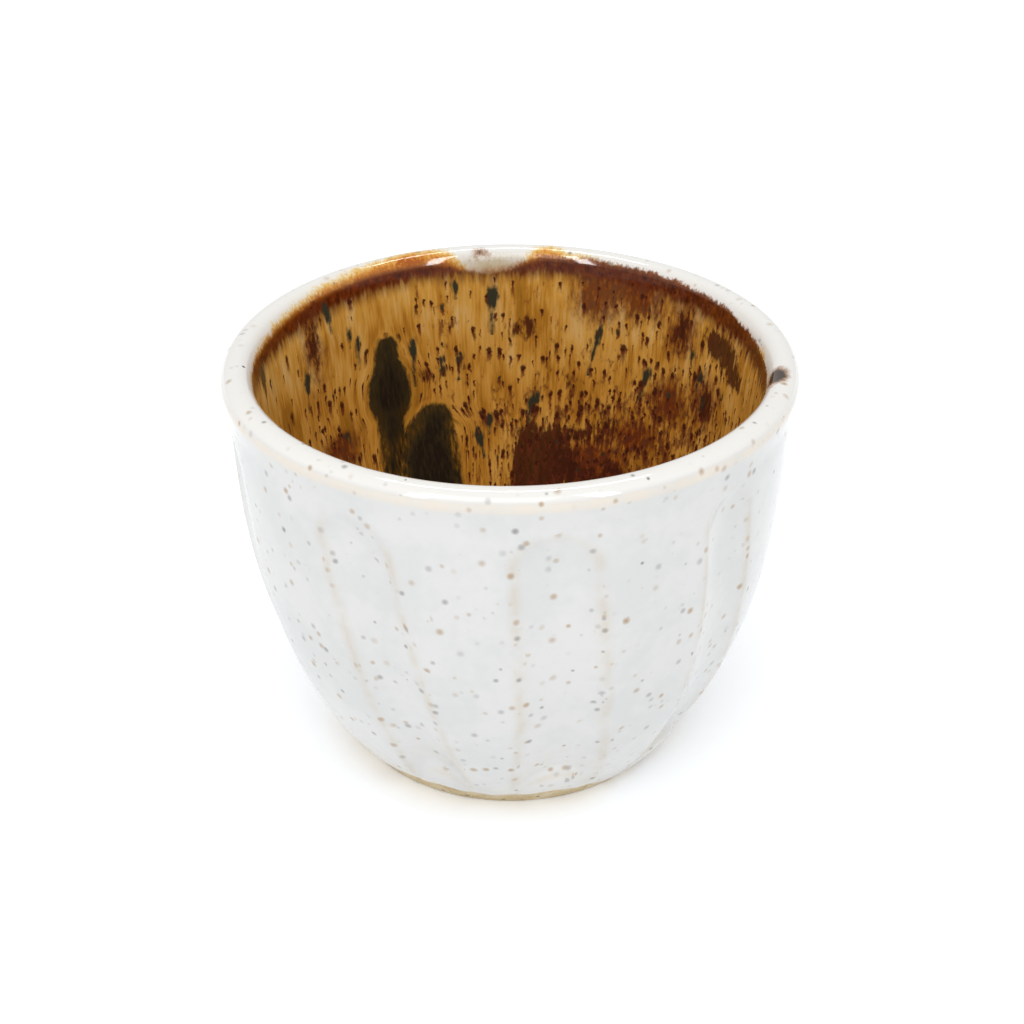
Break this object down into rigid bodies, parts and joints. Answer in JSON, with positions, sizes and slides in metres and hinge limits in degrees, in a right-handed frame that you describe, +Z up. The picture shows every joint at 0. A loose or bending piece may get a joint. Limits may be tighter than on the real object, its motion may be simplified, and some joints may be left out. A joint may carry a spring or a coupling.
{
  "type": "espresso cup",
  "caption": "Small handle-less stoneware espresso cup with scooped flutes, a white glazed outside, an amber glazed inside with dark runs, and a bare clay foot.",
  "frame": {"origin": "centre of the foot, on the surface that the cup stands on", "axes": "+Z up along the cup's axis from the foot to the mouth; -Y is the side that faces the camera in the picture, +X is to the right there"},
  "size_m": [0.0659, 0.066, 0.0497],
  "materials": {
    "stoneware": "bare fired clay, buff, with dark iron specks",
    "white_glaze": "white satin gloss with brown iron specks, tan where it thins on edges",
    "amber_glaze": "glossy honey amber with fine streaks and brown specks, rust brown under the rim",
    "dark_glaze": "glossy black-olive glass"
  },
  "bodies": {
    "root": {"stoneware_body": "stoneware", "white_outer_glaze": "white_glaze", "amber_liner_glaze": "amber_glaze", "dark_run_tall": "dark_glaze", "dark_run_broad": "dark_glaze"}
  },
  "joints": []
}
